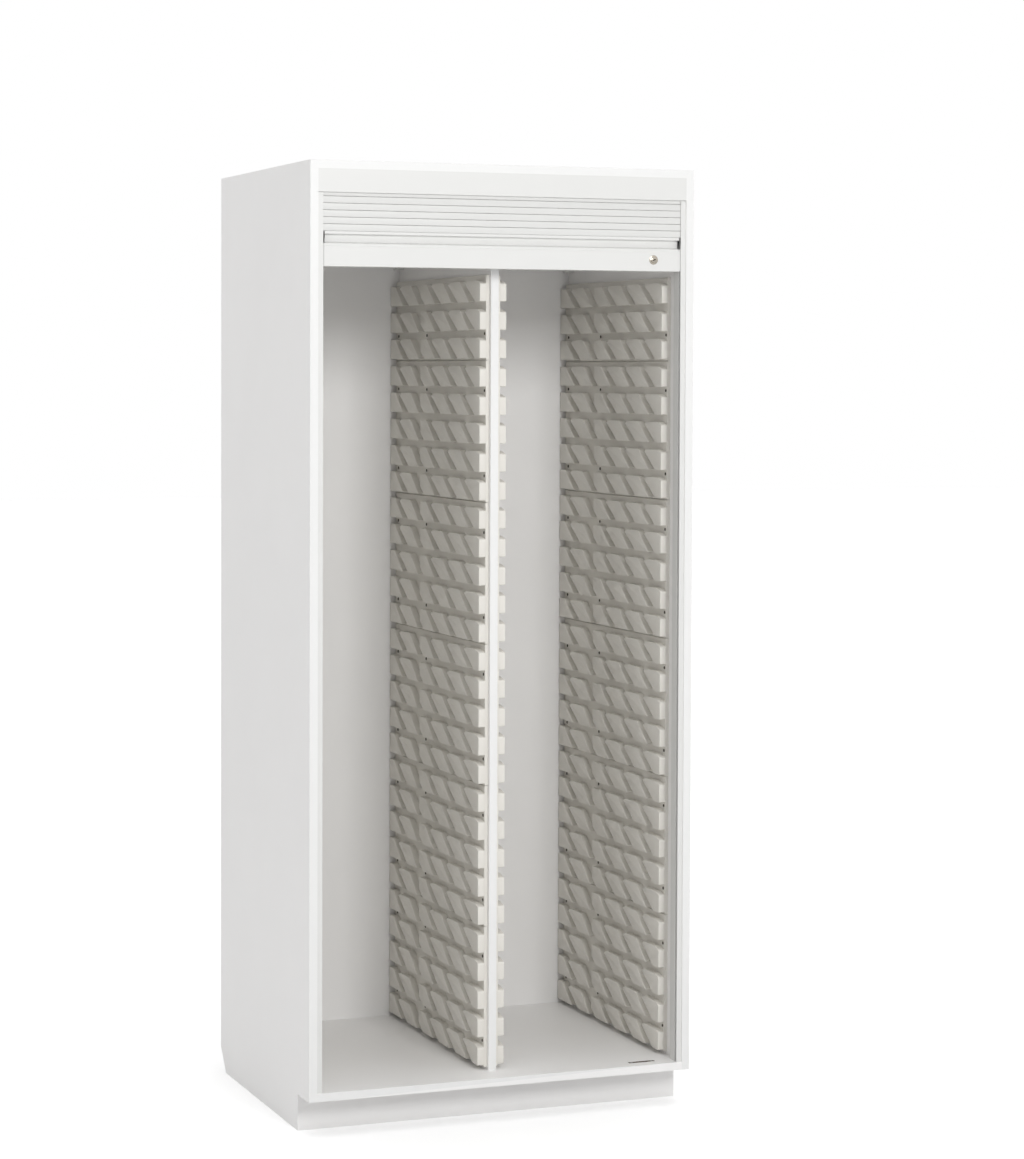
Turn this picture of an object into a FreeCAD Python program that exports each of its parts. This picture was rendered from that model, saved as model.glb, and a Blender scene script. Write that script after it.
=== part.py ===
import FreeCAD, Part
import os
from types import SimpleNamespace

import Sketcher
from FreeCAD import Placement, Rotation, Vector

# A white supply cabinet with a roller shutter, a centre divider and toothed tray inserts in both bays.
# The origin is on the floor under the middle of the cabinet: +X right, +Y to the back, +Z up.

# Driving sizes in millimetres. A value whose name ends in share is a plain ratio.
SIZES = {
    # carcass
    "cabinet_width": 900,
    "cabinet_depth": 670,
    "cabinet_height": 2100,
    "board": 18,
    "back_board": 8,
    "plinth_height": 80,
    "toe_setback": 80,
    "skirting_height": 54,
    "skirting_depth": 43,
    "rear_rail_inset": 60,
    "divider_setback": 68,
    "dowel_diameter": 8,
    "dowel_length": 35,
    "dowel_in_face": 12,
    "block_width": 20,
    "block_height": 16,
    "front_block_setback": 150,
    "rear_block_gap": 14,
    # head box
    "head_box_height": 156,
    "box_floor_setback": 42,
    "fascia_height": 50,
    "fascia_sheet": 4,
    "fascia_flange": 14,
    # tracks
    "track_width": 12,
    "track_depth": 35,
    "track_recess": 3,
    "track_lip": 1.5,
    "track_slot": 8.5,
    "track_wall": 1.5,
    "track_top_gap": 1,
    # curtain
    "slat_pitch": 14.85,
    "slat_thickness": 7,
    "slat_joint": 0.3,
    "slat_crown_radius": 26,
    "slat_end_gap": 2.5,
    "open_drop": 82.5,
    "bend_radius": 28,
    "head_clearance": 3.5,
    "roll_setback": 115,
    "roll_pitch": 7.6,
    "roll_clearance": 0.6,
    # barrel
    "barrel_diameter": 40,
    "barrel_wall": 1.5,
    "barrel_end_gap": 2,
    "plug_length": 20,
    "axle_diameter": 12,
    "running_clearance": 0.08,
    "spring_inner_diameter": 21,
    "spring_wire": 3,
    "spring_length": 240,
    "spring_end_gap": 0.4,
    "anchor_length": 14,
    "bracket_thickness": 3,
    "bracket_width": 90,
    "bracket_height": 110,
    "boss_diameter": 24,
    "boss_length": 10,
    "guide_gap": 0.5,
    # shutter rail
    "rail_height": 75.5,
    "rail_depth": 20,
    "rail_proud": 1,
    "rail_wall": 2,
    "rail_face_height": 49,
    "finger_groove_height": 20,
    "finger_groove_depth": 10,
    "rail_foot_depth": 16,
    "rail_foot_thickness": 3,
    "rail_end_gap": 1.5,
    "end_cap": 2,
    "stop_place_share": 0.5787,
    "stop_width": 30,
    "stop_depth": 14,
    "stop_gap": 0.5,
    # lock and strike
    "lock_from_side": 96,
    "lock_height": 25,
    "rosette_diameter": 21,
    "rosette_thickness": 1.2,
    "lock_barrel_diameter": 16,
    "plug_diameter": 12.5,
    "plug_proud": 3.5,
    "keyway_length": 8,
    "keyway_width": 2.2,
    "keyway_depth": 9,
    "housing_width": 56,
    "housing_depth": 15,
    "housing_height": 38,
    "bolt_offset": 7,
    "bolt_setback": 32,
    "bolt_width": 30,
    "bolt_thickness": 4,
    "bolt_length": 26,
    "bolt_recess": 2,
    "bolt_throw": 12,
    "bolt_clearance": 0.4,
    "lock_clearance": 0.2,
    "strike_length": 63,
    "strike_width": 10,
    "strike_thickness": 2,
    "strike_play": 1.5,
    "mortise_depth": 15,
    # tray inserts
    "insert_setback": 78,
    "insert_back_gap": 2,
    "insert_base": 7.5,
    "insert_floor_gap": 6.5,
    "insert_top_gap": 44.26,
    "insert_joint": 0.6,
    "tooth_rise": 4,
    "channel_height": 16.83,
    "tooth_depth": 15,
    "tooth_pitch_share": 0.18299,
    "tooth_slot": 38,
    "first_tooth_foot": 31,
    "front_lean_share": 1.2,
    "rear_lean_share": 1.51,
    "tooth_bevel_run": 15,
    "tooth_bevel_rise": 5,
    "lead_in_run": 22,
    "lead_in_drop": 6,
    "clipped_tooth_run": 27,
    "insert_front_screw": 8,
    "middle_screw_share": 0.6392,
    "insert_rear_screw": 18,
    # screws
    "screw_diameter": 3.5,
    "screw_length": 14,
    "screw_head_diameter": 7,
    "screw_head_height": 1.2,
    "screw_clearance": 0.25,
    "track_screw_inset": 90,
    "fascia_screw_inset": 60,
    "bracket_screw_inset": 10,
    "strike_screw_inset": 7,
    "back_screw_inset": 70,
    "overrun": 5,
}

# Counts and angles.
FULL_ROWS = 5
TOP_ROWS = 3
FULL_PANELS = 5
LEAD_SLATS = 6
HALF_TURNS = 12
TEETH = 6
CLIPPED_TOOTH = 3
KEYWAY_TILT = 20
TRACK_SCREWS = 6
FASCIA_SCREWS = 5
BACK_SCREWS = 4
DIVIDER_BACK_SCREWS = 5
DOWEL_SHARES = (0.12, 0.37, 0.63, 0.88)

# Turns that point a +Z piece along another axis.
TO_RIGHT = Rotation(Vector(0, 1, 0), 90)
TO_LEFT = Rotation(Vector(0, 1, 0), -90)
TO_BACK = Rotation(Vector(1, 0, 0), -90)
TO_FRONT = Rotation(Vector(1, 0, 0), 90)
DOWN = Rotation(Vector(1, 0, 0), 180)
UP = Rotation()

doc = FreeCAD.newDocument("shutter_cabinet")
sheet = doc.addObject("Spreadsheet::Sheet", "sizes")
for row, (alias, amount) in enumerate(SIZES.items(), 1):
    sheet.set(f"A{row}", alias)
    sheet.set(f"B{row}", str(amount))
    sheet.setAlias(f"B{row}", alias)
doc.recompute()


class Size:
    """A length: its value now, and the sheet expression that drives it."""

    def __init__(self, value, text):
        self.value = value
        self.text = text

    def __add__(self, other):
        other = as_size(other)
        return Size(self.value + other.value, f"({self.text} + {other.text})")

    def __sub__(self, other):
        other = as_size(other)
        return Size(self.value - other.value, f"({self.text} - {other.text})")

    def __mul__(self, other):
        other = as_size(other)
        return Size(self.value * other.value, f"({self.text} * {other.text})")

    def __truediv__(self, other):
        other = as_size(other)
        return Size(self.value / other.value, f"({self.text} / {other.text})")

    def __neg__(self):
        return Size(-self.value, f"(0 - {self.text})")


def as_size(amount):
    """Return a plain number as a Size, and a Size as it is."""
    return amount if isinstance(amount, Size) else Size(amount, str(amount))


s = SimpleNamespace(**{alias: Size(amount, f"sizes.{alias}") for alias, amount in SIZES.items()})
zero = as_size(0)
subparts = []


def keep(thing):
    """Count an object as a sub-part that is written out under its label."""
    subparts.append(thing)
    return thing


def put(thing, corner, turn=UP):
    """Place an object, with its position bound to the sheet."""
    corner = [as_size(amount) for amount in corner]
    thing.Placement = Placement(Vector(*(amount.value for amount in corner)), turn)
    for axis, amount in zip("xyz", corner):
        thing.setExpression(f"Placement.Base.{axis}", amount.text)
    return thing


def block(name, corner, spans):
    """A box from its low corner and its three spans."""
    box = doc.addObject("Part::Box", name)
    for side, span in zip(("Length", "Width", "Height"), spans):
        box.setExpression(side, as_size(span).text)
    return put(box, corner)


def rod(name, start, turn, diameter, length):
    """A round rod that starts at a point and runs the way the turn points."""
    cylinder = doc.addObject("Part::Cylinder", name)
    cylinder.setExpression("Radius", (diameter / 2).text)
    cylinder.setExpression("Height", as_size(length).text)
    return put(cylinder, start, turn)


def cut(name, base, tool):
    """The base with the tool taken out of it."""
    result = doc.addObject("Part::Cut", name)
    result.Base = base
    result.Tool = tool
    return result


def common(name, base, tool):
    """What two shapes have in common."""
    result = doc.addObject("Part::Common", name)
    result.Base = base
    result.Tool = tool
    return result


def joined(name, pieces):
    """One solid from pieces that overlap or touch."""
    result = doc.addObject("Part::MultiFuse", name)
    result.Shapes = pieces
    return result


def group(name, pieces):
    """Separate solids under one name."""
    result = doc.addObject("Part::Compound", name)
    result.Links = pieces
    return result


def copy_of(master, name, corner, turn=UP):
    """A placed copy of a shape that was made at the origin."""
    return put(group(name, [master]), corner, turn)


def mirrored(name, source):
    """The mirror image of a shape across the middle of the cabinet."""
    result = doc.addObject("Part::Mirroring", name)
    result.Source = source
    result.Normal = Vector(1, 0, 0)
    return result


def start_sketch(body, name, plane):
    """A sketch on one of the body's own origin planes."""
    sketch = body.newObject("Sketcher::SketchObject", name)
    sketch.AttachmentSupport = [(next(f for f in body.Origin.OriginFeatures if f.Role == plane), "")]
    sketch.MapMode = "FlatFace"
    return sketch


def pin_point(sketch, geometry, position, point):
    """Hold a sketch point at its place, each coordinate bound to the sheet."""
    for kind, amount in zip(("DistanceX", "DistanceY"), point):
        index = sketch.addConstraint(Sketcher.Constraint(kind, -1, 1, geometry, position, amount.value))
        sketch.setExpression(f"Constraints[{index}]", amount.text)


def draw_outline(sketch, points):
    """A closed outline of straight edges through the points."""
    first = sketch.GeometryCount
    corners = [Vector(x.value, y.value, 0) for x, y in points]
    for begin, end in zip(corners, corners[1:] + corners[:1]):
        sketch.addGeometry(Part.LineSegment(begin, end), False)
    for index in range(len(points)):
        following = (index + 1) % len(points)
        sketch.addConstraint(Sketcher.Constraint("Coincident", first + index, 2, first + following, 1))
        pin_point(sketch, first + index, 1, points[index])


def draw_circle(sketch, centre, diameter):
    """A circle with its centre and radius bound to the sheet."""
    x, y = centre
    ring = Part.Circle(Vector(x.value, y.value, 0), Vector(0, 0, 1), diameter.value / 2)
    index = sketch.addGeometry(ring, False)
    pin_point(sketch, index, 3, centre)
    radius = sketch.addConstraint(Sketcher.Constraint("Radius", index, diameter.value / 2))
    sketch.setExpression(f"Constraints[{radius}]", (diameter / 2).text)


def pad(body, name, plane, outlines, length):
    """Pad closed outlines along the plane's normal."""
    sketch = start_sketch(body, f"{name}_sketch", plane)
    for outline in outlines:
        draw_outline(sketch, outline)
    feature = body.newObject("PartDesign::Pad", f"{name}_pad")
    feature.Profile = sketch
    feature.setExpression("Length", as_size(length).text)
    return feature


def extrusion(name, plane, outlines, length, corner):
    """A body of one section, padded and placed."""
    body = doc.addObject("PartDesign::Body", name)
    pad(body, name, plane, outlines, length)
    return put(body, corner)


def rectangle(low, high):
    """The four corners of a rectangle."""
    return [low, (high[0], low[1]), high, (low[0], high[1])]


def spread(low, high, count):
    """Evenly spaced places from low to high."""
    return [low + (high - low) * (step / (count - 1)) for step in range(count)]


# Planes and faces that several pieces share.
front = -s.cabinet_depth / 2
back = s.cabinet_depth / 2
back_face = back - s.back_board
side = s.cabinet_width / 2
inner = side - s.board
inner_span = inner * 2
floor_top = s.plinth_height + s.board
under_top = s.cabinet_height - s.board
fascia_bottom = under_top - s.fascia_height
box_floor_top = under_top - s.head_box_height
box_floor_bottom = box_floor_top - s.board
divider_face = s.board / 2
carcass_depth = s.cabinet_depth - s.back_board

# Curtain path: up the tracks, round the head guides, over to the top of the roll.
slot_front = front + s.track_recess + s.track_lip
slat_front = slot_front + (s.track_slot - s.slat_thickness) / 2
slat_back = slat_front + s.slat_thickness
slat_mid = slat_front + s.slat_thickness / 2
slat_reach = inner - s.track_wall - s.slat_end_gap
slat_span = slat_reach * 2
run_top = under_top - s.head_clearance - s.slat_thickness / 2
bend_height = run_top - s.bend_radius
bend_y = slat_mid + s.bend_radius
rail_top = fascia_bottom - s.open_drop
rail_bottom = rail_top - s.rail_height

# Roll: the radius of the curtain's middle line falls by half a pitch in each half turn.
roll_y = front + s.roll_setback
roll_core = s.barrel_diameter / 2 + s.slat_thickness / 2 + s.roll_pitch / 4 + s.roll_clearance
roll_radius = roll_core + s.roll_pitch / 2 * (HALF_TURNS - 1)
roll_z = run_top - roll_radius - s.roll_pitch / 4

# Screw that all fixings share, and the hole it needs, both pointing into the material along +Z.
screw = joined("screw_form", [
    rod("screw_form_shank", (0, 0, 0), UP, s.screw_diameter, s.screw_length),
    rod("screw_form_head", (0, 0, 0), DOWN, s.screw_head_diameter, s.screw_head_height),
])
screw_hole = joined("screw_hole_form", [
    rod("screw_hole_form_shank", (0, 0, 0), UP, s.screw_diameter + s.screw_clearance * 2, s.screw_length),
    rod("screw_hole_form_head", (0, 0, 0), DOWN, s.screw_head_diameter + s.screw_clearance * 2,
        s.screw_head_height + s.overrun),
])
fixings = []


def screwed(name, piece, seats, turn):
    """Drill a piece for screws seated at the given places, and add the screws."""
    holes = [copy_of(screw_hole, f"{name}_hole_{n}", seat, turn) for n, seat in enumerate(seats)]
    fixings.extend(copy_of(screw, f"{name}_screw_{n}", seat, turn) for n, seat in enumerate(seats))
    return cut(name, piece, group(f"{name}_holes", holes))


# Side panels: notched for the toe kick, cut back over the skirting.
toe_back = front + s.toe_setback + s.board
left_side_panel = keep(extrusion("left_side_panel", "YZ_Plane", [[
    (front, s.plinth_height),
    (toe_back, s.plinth_height),
    (toe_back, zero),
    (back - s.skirting_depth, zero),
    (back, s.skirting_height),
    (back, s.cabinet_height),
    (front, s.cabinet_height),
]], s.board, (-side, 0, 0)))
keep(mirrored("right_side_panel", left_side_panel))

# Boards between the sides.
keep(block("top_panel", (-inner, front, under_top), (inner_span, carcass_depth, s.board)))
keep(block("toe_kick", (-side, front + s.toe_setback, 0), (s.cabinet_width, s.board, s.plinth_height)))
keep(block("rear_plinth_rail", (-inner, back - s.rear_rail_inset - s.board, 0),
           (inner_span, s.board, s.plinth_height)))
keep(block("centre_divider", (-divider_face, front + s.divider_setback, floor_top),
           (s.board, carcass_depth - s.divider_setback, box_floor_bottom - floor_top)))
keep(block("head_box_floor", (-inner, front + s.box_floor_setback, box_floor_bottom),
           (inner_span, carcass_depth - s.box_floor_setback, s.board)))

# Back panel, screwed to the rear edges of the boards.
back_plain = block("back_panel_plain", (-inner, back_face, s.plinth_height),
                   (inner_span, s.back_board, s.cabinet_height - s.plinth_height))
back_seat = back - s.screw_head_height
edge_rows = [s.plinth_height + s.board / 2, box_floor_bottom + s.board / 2, s.cabinet_height - s.board / 2]
edge_places = spread(-inner + s.back_screw_inset, inner - s.back_screw_inset, BACK_SCREWS)
divider_places = spread(floor_top + s.back_screw_inset, box_floor_bottom - s.back_screw_inset,
                        DIVIDER_BACK_SCREWS)
back_seats = [(x, back_seat, z) for z in edge_rows for x in edge_places]
back_seats += [(zero, back_seat, z) for z in divider_places]
keep(screwed("back_panel", back_plain, back_seats, TO_FRONT))

# Dowels of the board joints.
dowels = []
for z_name, z in (("bottom", floor_top), ("ceiling", box_floor_top), ("top", s.cabinet_height)):
    for n, share in enumerate(DOWEL_SHARES):
        y = front + s.box_floor_setback + (carcass_depth - s.box_floor_setback) * share
        start = (inner + s.dowel_in_face, y, z - s.board / 2)
        dowel = rod(f"{z_name}_dowel_{n}", start, TO_LEFT, s.dowel_diameter, s.dowel_length)
        dowels += [dowel, mirrored(f"{z_name}_left_dowel_{n}", dowel)]
for n, share in enumerate(DOWEL_SHARES):
    y = front + s.divider_setback + (carcass_depth - s.divider_setback) * share
    dowels.append(rod(f"divider_foot_dowel_{n}", (0, y, floor_top - s.dowel_in_face), UP,
                      s.dowel_diameter, s.dowel_length))
    dowels.append(rod(f"divider_head_dowel_{n}", (0, y, box_floor_bottom + s.dowel_in_face), DOWN,
                      s.dowel_diameter, s.dowel_length))
keep(group("carcass_dowels", dowels))

# Corner blocks under the head box floor.
blocks = []
block_z = box_floor_bottom - s.block_height
for y_name, y in (("front", front + s.front_block_setback),
                  ("rear", back_face - s.rear_block_gap - s.block_width)):
    for x_name, x in (("wall", inner - s.block_width), ("divider", divider_face)):
        piece = block(f"{y_name}_{x_name}_block", (x, y, block_z),
                      (s.block_width, s.block_width, s.block_height))
        blocks += [piece, mirrored(f"{y_name}_{x_name}_left_block", piece)]
keep(group("corner_blocks", blocks))

# Header fascia: an angle under the front of the top panel.
fascia_plain = extrusion("header_fascia_plain", "YZ_Plane", [[
    (front, fascia_bottom),
    (front + s.fascia_sheet, fascia_bottom),
    (front + s.fascia_sheet, under_top - s.fascia_sheet),
    (front + s.fascia_flange, under_top - s.fascia_sheet),
    (front + s.fascia_flange, under_top),
    (front, under_top),
]], inner_span, (-inner, 0, 0))
fascia_screw_y = front + (s.fascia_sheet + s.fascia_flange) / 2
fascia_places = spread(-inner + s.fascia_screw_inset, inner - s.fascia_screw_inset, FASCIA_SCREWS)
fascia_seat_z = under_top - s.fascia_sheet + s.screw_head_height
fascia_seats = [(x, fascia_screw_y, fascia_seat_z) for x in fascia_places]
keep(screwed("header_fascia", fascia_plain, fascia_seats, UP))

# Tracks: a slot for the slat ends in front, a hollow strip behind it.
track_in = inner - s.track_width
track_front = front + s.track_recess
track_back = track_front + s.track_depth
slot_back = slot_front + s.track_slot
slot_end = inner - s.track_wall
track_height = fascia_bottom - s.track_top_gap - floor_top
track_plain = extrusion("right_track_plain", "XY_Plane", [[
    (track_in, track_front),
    (inner, track_front),
    (inner, track_back),
    (track_in, track_back),
    (track_in, slot_back),
    (slot_end, slot_back),
    (slot_end, slot_front),
    (track_in, slot_front),
], rectangle((track_in + s.track_wall, slot_back + s.track_wall),
             (slot_end, track_back - s.track_wall))], track_height, (0, 0, floor_top))
track_places = spread(floor_top + s.track_screw_inset, fascia_bottom - s.track_screw_inset, TRACK_SCREWS)
track_seats = [(slot_end + s.screw_head_height, slat_mid, z) for z in track_places]
first_track_fixing = len(fixings)
right_track = keep(screwed("right_track", track_plain, track_seats, TO_RIGHT))
track_fixings = fixings[first_track_fixing:]
fixings.extend(mirrored(f"left_track_screw_{n}", fixing) for n, fixing in enumerate(track_fixings))
keep(mirrored("left_track", right_track))

# Head guides: the inside of the bend, above each track.
guide_radius = s.bend_radius - s.slat_thickness / 2 - s.guide_gap
guide_bend = common("right_guide_bend",
                    rod("right_guide_round", (track_in, bend_y, bend_height), TO_RIGHT,
                        guide_radius * 2, s.track_width),
                    block("right_guide_quarter", (track_in, bend_y - guide_radius, bend_height),
                          (s.track_width, guide_radius, guide_radius)))
guide_foot = block("right_guide_foot", (track_in, bend_y - guide_radius, fascia_bottom),
                   (s.track_width, guide_radius, bend_height - fascia_bottom))
right_guide = joined("right_head_guide", [guide_bend, guide_foot])
keep(group("head_guides", [right_guide, mirrored("left_head_guide", right_guide)]))

# Barrel brackets with a boss that holds the axle.
bracket_face = inner - s.bracket_thickness
bracket_plate = block("right_bracket_plate",
                      (bracket_face, roll_y - s.bracket_width / 2, roll_z - s.bracket_height / 2),
                      (s.bracket_thickness, s.bracket_width, s.bracket_height))
bracket_boss = rod("right_bracket_boss", (bracket_face - s.boss_length, roll_y, roll_z), TO_RIGHT,
                   s.boss_diameter, s.boss_length)
bracket_bore = rod("right_bracket_bore", (bracket_face - s.boss_length - s.overrun, roll_y, roll_z), TO_RIGHT,
                   s.axle_diameter, s.boss_length + s.bracket_thickness + s.overrun * 2)
bracket_plain = cut("right_bracket_plain", joined("right_bracket_body", [bracket_plate, bracket_boss]),
                    bracket_bore)
bracket_reach_y = s.bracket_width / 2 - s.bracket_screw_inset
bracket_reach_z = s.bracket_height / 2 - s.bracket_screw_inset
bracket_seats = [(bracket_face + s.screw_head_height, roll_y + y, roll_z + z)
                 for y in (-bracket_reach_y, bracket_reach_y) for z in (-bracket_reach_z, bracket_reach_z)]
first_bracket_fixing = len(fixings)
right_bracket = screwed("right_barrel_bracket", bracket_plain, bracket_seats, TO_RIGHT)
bracket_fixings = fixings[first_bracket_fixing:]
fixings.extend(mirrored(f"left_bracket_screw_{n}", fixing) for n, fixing in enumerate(bracket_fixings))
keep(group("barrel_brackets", [right_bracket, mirrored("left_barrel_bracket", right_bracket)]))

# Barrel: a tube that turns on two plugs round the fixed axle.
tube_reach = bracket_face - s.boss_length - s.barrel_end_gap
tube_bore = s.barrel_diameter - s.barrel_wall * 2
keep(rod("barrel_axle", (-inner, roll_y, roll_z), TO_RIGHT, s.axle_diameter, inner_span))
keep(cut("barrel_tube",
         rod("barrel_tube_outside", (-tube_reach, roll_y, roll_z), TO_RIGHT, s.barrel_diameter,
             tube_reach * 2),
         rod("barrel_tube_inside", (-tube_reach - s.overrun, roll_y, roll_z), TO_RIGHT, tube_bore,
             (tube_reach + s.overrun) * 2)))
right_plug = cut("right_end_plug",
                 rod("right_plug_outside", (tube_reach - s.plug_length, roll_y, roll_z), TO_RIGHT,
                     tube_bore, s.plug_length),
                 rod("right_plug_bore", (tube_reach - s.plug_length - s.overrun, roll_y, roll_z), TO_RIGHT,
                     s.axle_diameter + s.running_clearance * 2, s.plug_length + s.overrun * 2))
keep(group("barrel_end_plugs", [right_plug, mirrored("left_end_plug", right_plug)]))

# Counterbalance spring round the axle, between the left plug and an anchor collar on the axle.
spring_start = -tube_reach + s.plug_length + s.spring_end_gap
spring_outer = s.spring_inner_diameter + s.spring_wire * 2
keep(cut("counterbalance_spring",
         rod("spring_outside", (spring_start, roll_y, roll_z), TO_RIGHT, spring_outer, s.spring_length),
         rod("spring_inside", (spring_start - s.overrun, roll_y, roll_z), TO_RIGHT, s.spring_inner_diameter,
             s.spring_length + s.overrun * 2)))
keep(cut("spring_anchor",
         rod("anchor_outside", (spring_start + s.spring_length, roll_y, roll_z), TO_RIGHT, spring_outer,
             s.anchor_length),
         rod("anchor_bore", (spring_start + s.spring_length - s.overrun, roll_y, roll_z), TO_RIGHT,
             s.axle_diameter, s.anchor_length + s.overrun * 2)))

# Slats that show under the fascia: flat backs and a gently crowned front.
slat_body_height = s.slat_pitch - s.slat_joint
slat_form = common("slat_form",
                   block("slat_form_bar", (-slat_reach, slat_front, 0),
                         (slat_span, s.slat_thickness, slat_body_height)),
                   rod("slat_form_crown",
                       (-slat_reach, slat_front + s.slat_crown_radius, slat_body_height / 2), TO_RIGHT,
                       s.slat_crown_radius * 2, slat_span))
keep(group("shutter_slats", [copy_of(slat_form, f"slat_{n}", (0, 0, rail_top + s.slat_pitch * n))
                             for n in range(LEAD_SLATS)]))

# The rest of the curtain, bent over the head guides and wound on the barrel.


def half_circle(y, low, high, towards_back):
    """An arc in the section plane from one height to the other."""
    radius = abs(high - low) / 2
    belly = y + radius if towards_back else y - radius
    points = [(y, high), (belly, (high + low) / 2), (y, low)]
    if not towards_back:
        points.reverse()
    return Part.Arc(*(Vector(0, *point) for point in points)).toShape()


def curtain_side(offset):
    """One face of the curtain: the middle line moved out by an offset, as joined edges."""
    y = slat_mid.value - offset
    start_z = (rail_top + s.slat_pitch * LEAD_SLATS).value
    bend = s.bend_radius.value + offset
    top = run_top.value + offset
    slant = bend * 0.5 ** 0.5
    edges = [
        Part.LineSegment(Vector(0, y, start_z), Vector(0, y, bend_height.value)).toShape(),
        Part.Arc(Vector(0, y, bend_height.value),
                 Vector(0, bend_y.value - slant, bend_height.value + slant),
                 Vector(0, bend_y.value, top)).toShape(),
        Part.LineSegment(Vector(0, bend_y.value, top), Vector(0, roll_y.value, top)).toShape(),
    ]
    middle_top = run_top.value
    for turn in range(HALF_TURNS):
        radius = roll_radius.value - turn * s.roll_pitch.value / 2
        towards_back = turn % 2 == 0
        if towards_back:
            middle_low = middle_top - 2 * radius
        else:
            middle_top = middle_low + 2 * radius
        edges.append(half_circle(roll_y.value, middle_low - offset, middle_top + offset, towards_back))
    return edges


outside = curtain_side(s.slat_thickness.value / 2)
inside = curtain_side(-s.slat_thickness.value / 2)
ends = [Part.LineSegment(outside[step].Vertexes[step].Point, inside[step].Vertexes[step].Point).toShape()
        for step in (0, -1)]
curtain_section = Part.Face(Part.Wire(Part.__sortEdges__(outside + inside + ends)))
wound_curtain = keep(doc.addObject("Part::Feature", "wound_curtain"))
wound_curtain.Shape = curtain_section.extrude(Vector(slat_span.value, 0, 0))
put(wound_curtain, (-slat_reach, 0, 0))

# Shutter rail: a hollow section with a finger groove in front and a foot behind.
rail_front = slat_front - s.rail_proud
rail_back = rail_front + s.rail_depth
groove_bottom = rail_bottom + s.rail_face_height
groove_top = groove_bottom + s.finger_groove_height
groove_back = rail_front + s.finger_groove_depth
foot_top = rail_bottom + s.rail_foot_thickness
foot_back = rail_back + s.rail_foot_depth
rail_reach = track_in - s.rail_end_gap - s.end_cap
rail_plain = extrusion("shutter_rail_plain", "YZ_Plane", [[
    (rail_front, rail_bottom),
    (foot_back, rail_bottom),
    (foot_back, foot_top),
    (rail_back, foot_top),
    (rail_back, rail_top),
    (rail_front, rail_top),
    (rail_front, groove_top),
    (groove_back, groove_top),
    (groove_back, groove_bottom),
    (rail_front, groove_bottom),
], rectangle((rail_front + s.rail_wall, foot_top), (rail_back - s.rail_wall, groove_bottom - s.rail_wall))],
    rail_reach * 2, (-rail_reach, 0, 0))
lock_x = side - s.lock_from_side
lock_z = rail_bottom + s.lock_height
bolt_x = lock_x - s.bolt_offset
bolt_y = front + s.bolt_setback
bolt_low = rail_bottom + s.bolt_recess
bolt_play = s.bolt_clearance * 2
lock_hole = rod("lock_hole", (lock_x, rail_front - s.overrun, lock_z), TO_BACK,
                s.lock_barrel_diameter + s.lock_clearance * 2, s.rail_depth + s.overrun * 2)
bolt_channel = block("bolt_channel",
                     (bolt_x - s.bolt_width / 2 - s.bolt_clearance,
                      bolt_y - s.bolt_thickness / 2 - s.bolt_clearance, rail_bottom - s.overrun),
                     (s.bolt_width + bolt_play, s.bolt_thickness + bolt_play,
                      s.overrun + s.bolt_recess + s.bolt_length + s.bolt_clearance))
keep(cut("shutter_rail", rail_plain, group("rail_openings", [lock_hole, bolt_channel])))

# End guides: a cap on each end of the rail with a tongue that runs in the track.
cap_plate = block("right_cap_plate", (rail_reach, rail_front, rail_bottom),
                  (s.end_cap, s.rail_depth, s.rail_face_height))
cap_tongue = block("right_cap_tongue", (rail_reach, slat_front, rail_bottom),
                   (slat_reach - rail_reach, s.slat_thickness, s.rail_face_height))
right_cap = joined("right_end_guide", [cap_plate, cap_tongue])
keep(group("rail_end_guides", [right_cap, mirrored("left_end_guide", right_cap)]))

# Lock: a housing behind the rail, its barrel and rosette through the rail, the plug and the bolt.
housing_box = block("housing_box", (bolt_x - s.housing_width / 2, rail_back, foot_top),
                    (s.housing_width, s.housing_depth, s.housing_height))
housing_barrel = rod("housing_barrel", (lock_x, rail_front, lock_z), TO_BACK,
                     s.lock_barrel_diameter, s.rail_depth)
rosette = rod("rosette", (lock_x, rail_front - s.rosette_thickness, lock_z), TO_BACK,
              s.rosette_diameter, s.rosette_thickness)
plug_bore = rod("plug_bore", (lock_x, rail_front - s.rosette_thickness - s.overrun, lock_z), TO_BACK,
                s.plug_diameter + s.running_clearance * 2, s.rosette_thickness + s.overrun + s.rail_depth)
keep(cut("lock_housing", joined("housing_body", [housing_box, housing_barrel, rosette]),
         group("housing_openings", [plug_bore, bolt_channel])))
plug_blank = rod("plug_blank", (0, 0, 0), TO_BACK, s.plug_diameter,
                 s.plug_proud + s.rail_depth - s.lock_clearance)
keyway = block("keyway", (-s.keyway_length / 2, -s.overrun, -s.keyway_width / 2),
               (s.keyway_length, s.keyway_depth + s.overrun, s.keyway_width))
plug_form = cut("plug_form", plug_blank, keyway)
keep(copy_of(plug_form, "lock_plug", (lock_x, rail_front - s.plug_proud, lock_z),
             Rotation(Vector(0, 1, 0), -KEYWAY_TILT)))
keep(block("lock_bolt", (bolt_x - s.bolt_width / 2, bolt_y - s.bolt_thickness / 2, bolt_low),
           (s.bolt_width, s.bolt_thickness, s.bolt_length)))

# Rubber stops on the front of the head box floor, just above the foot of the raised rail.
stop_low = foot_top + s.stop_gap
right_stop = block("right_stop", (inner * s.stop_place_share - s.stop_width / 2,
                                  front + s.box_floor_setback - s.stop_depth, stop_low),
                   (s.stop_width, s.stop_depth, box_floor_top - stop_low))
keep(group("shutter_stops", [right_stop, mirrored("left_stop", right_stop)]))

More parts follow.
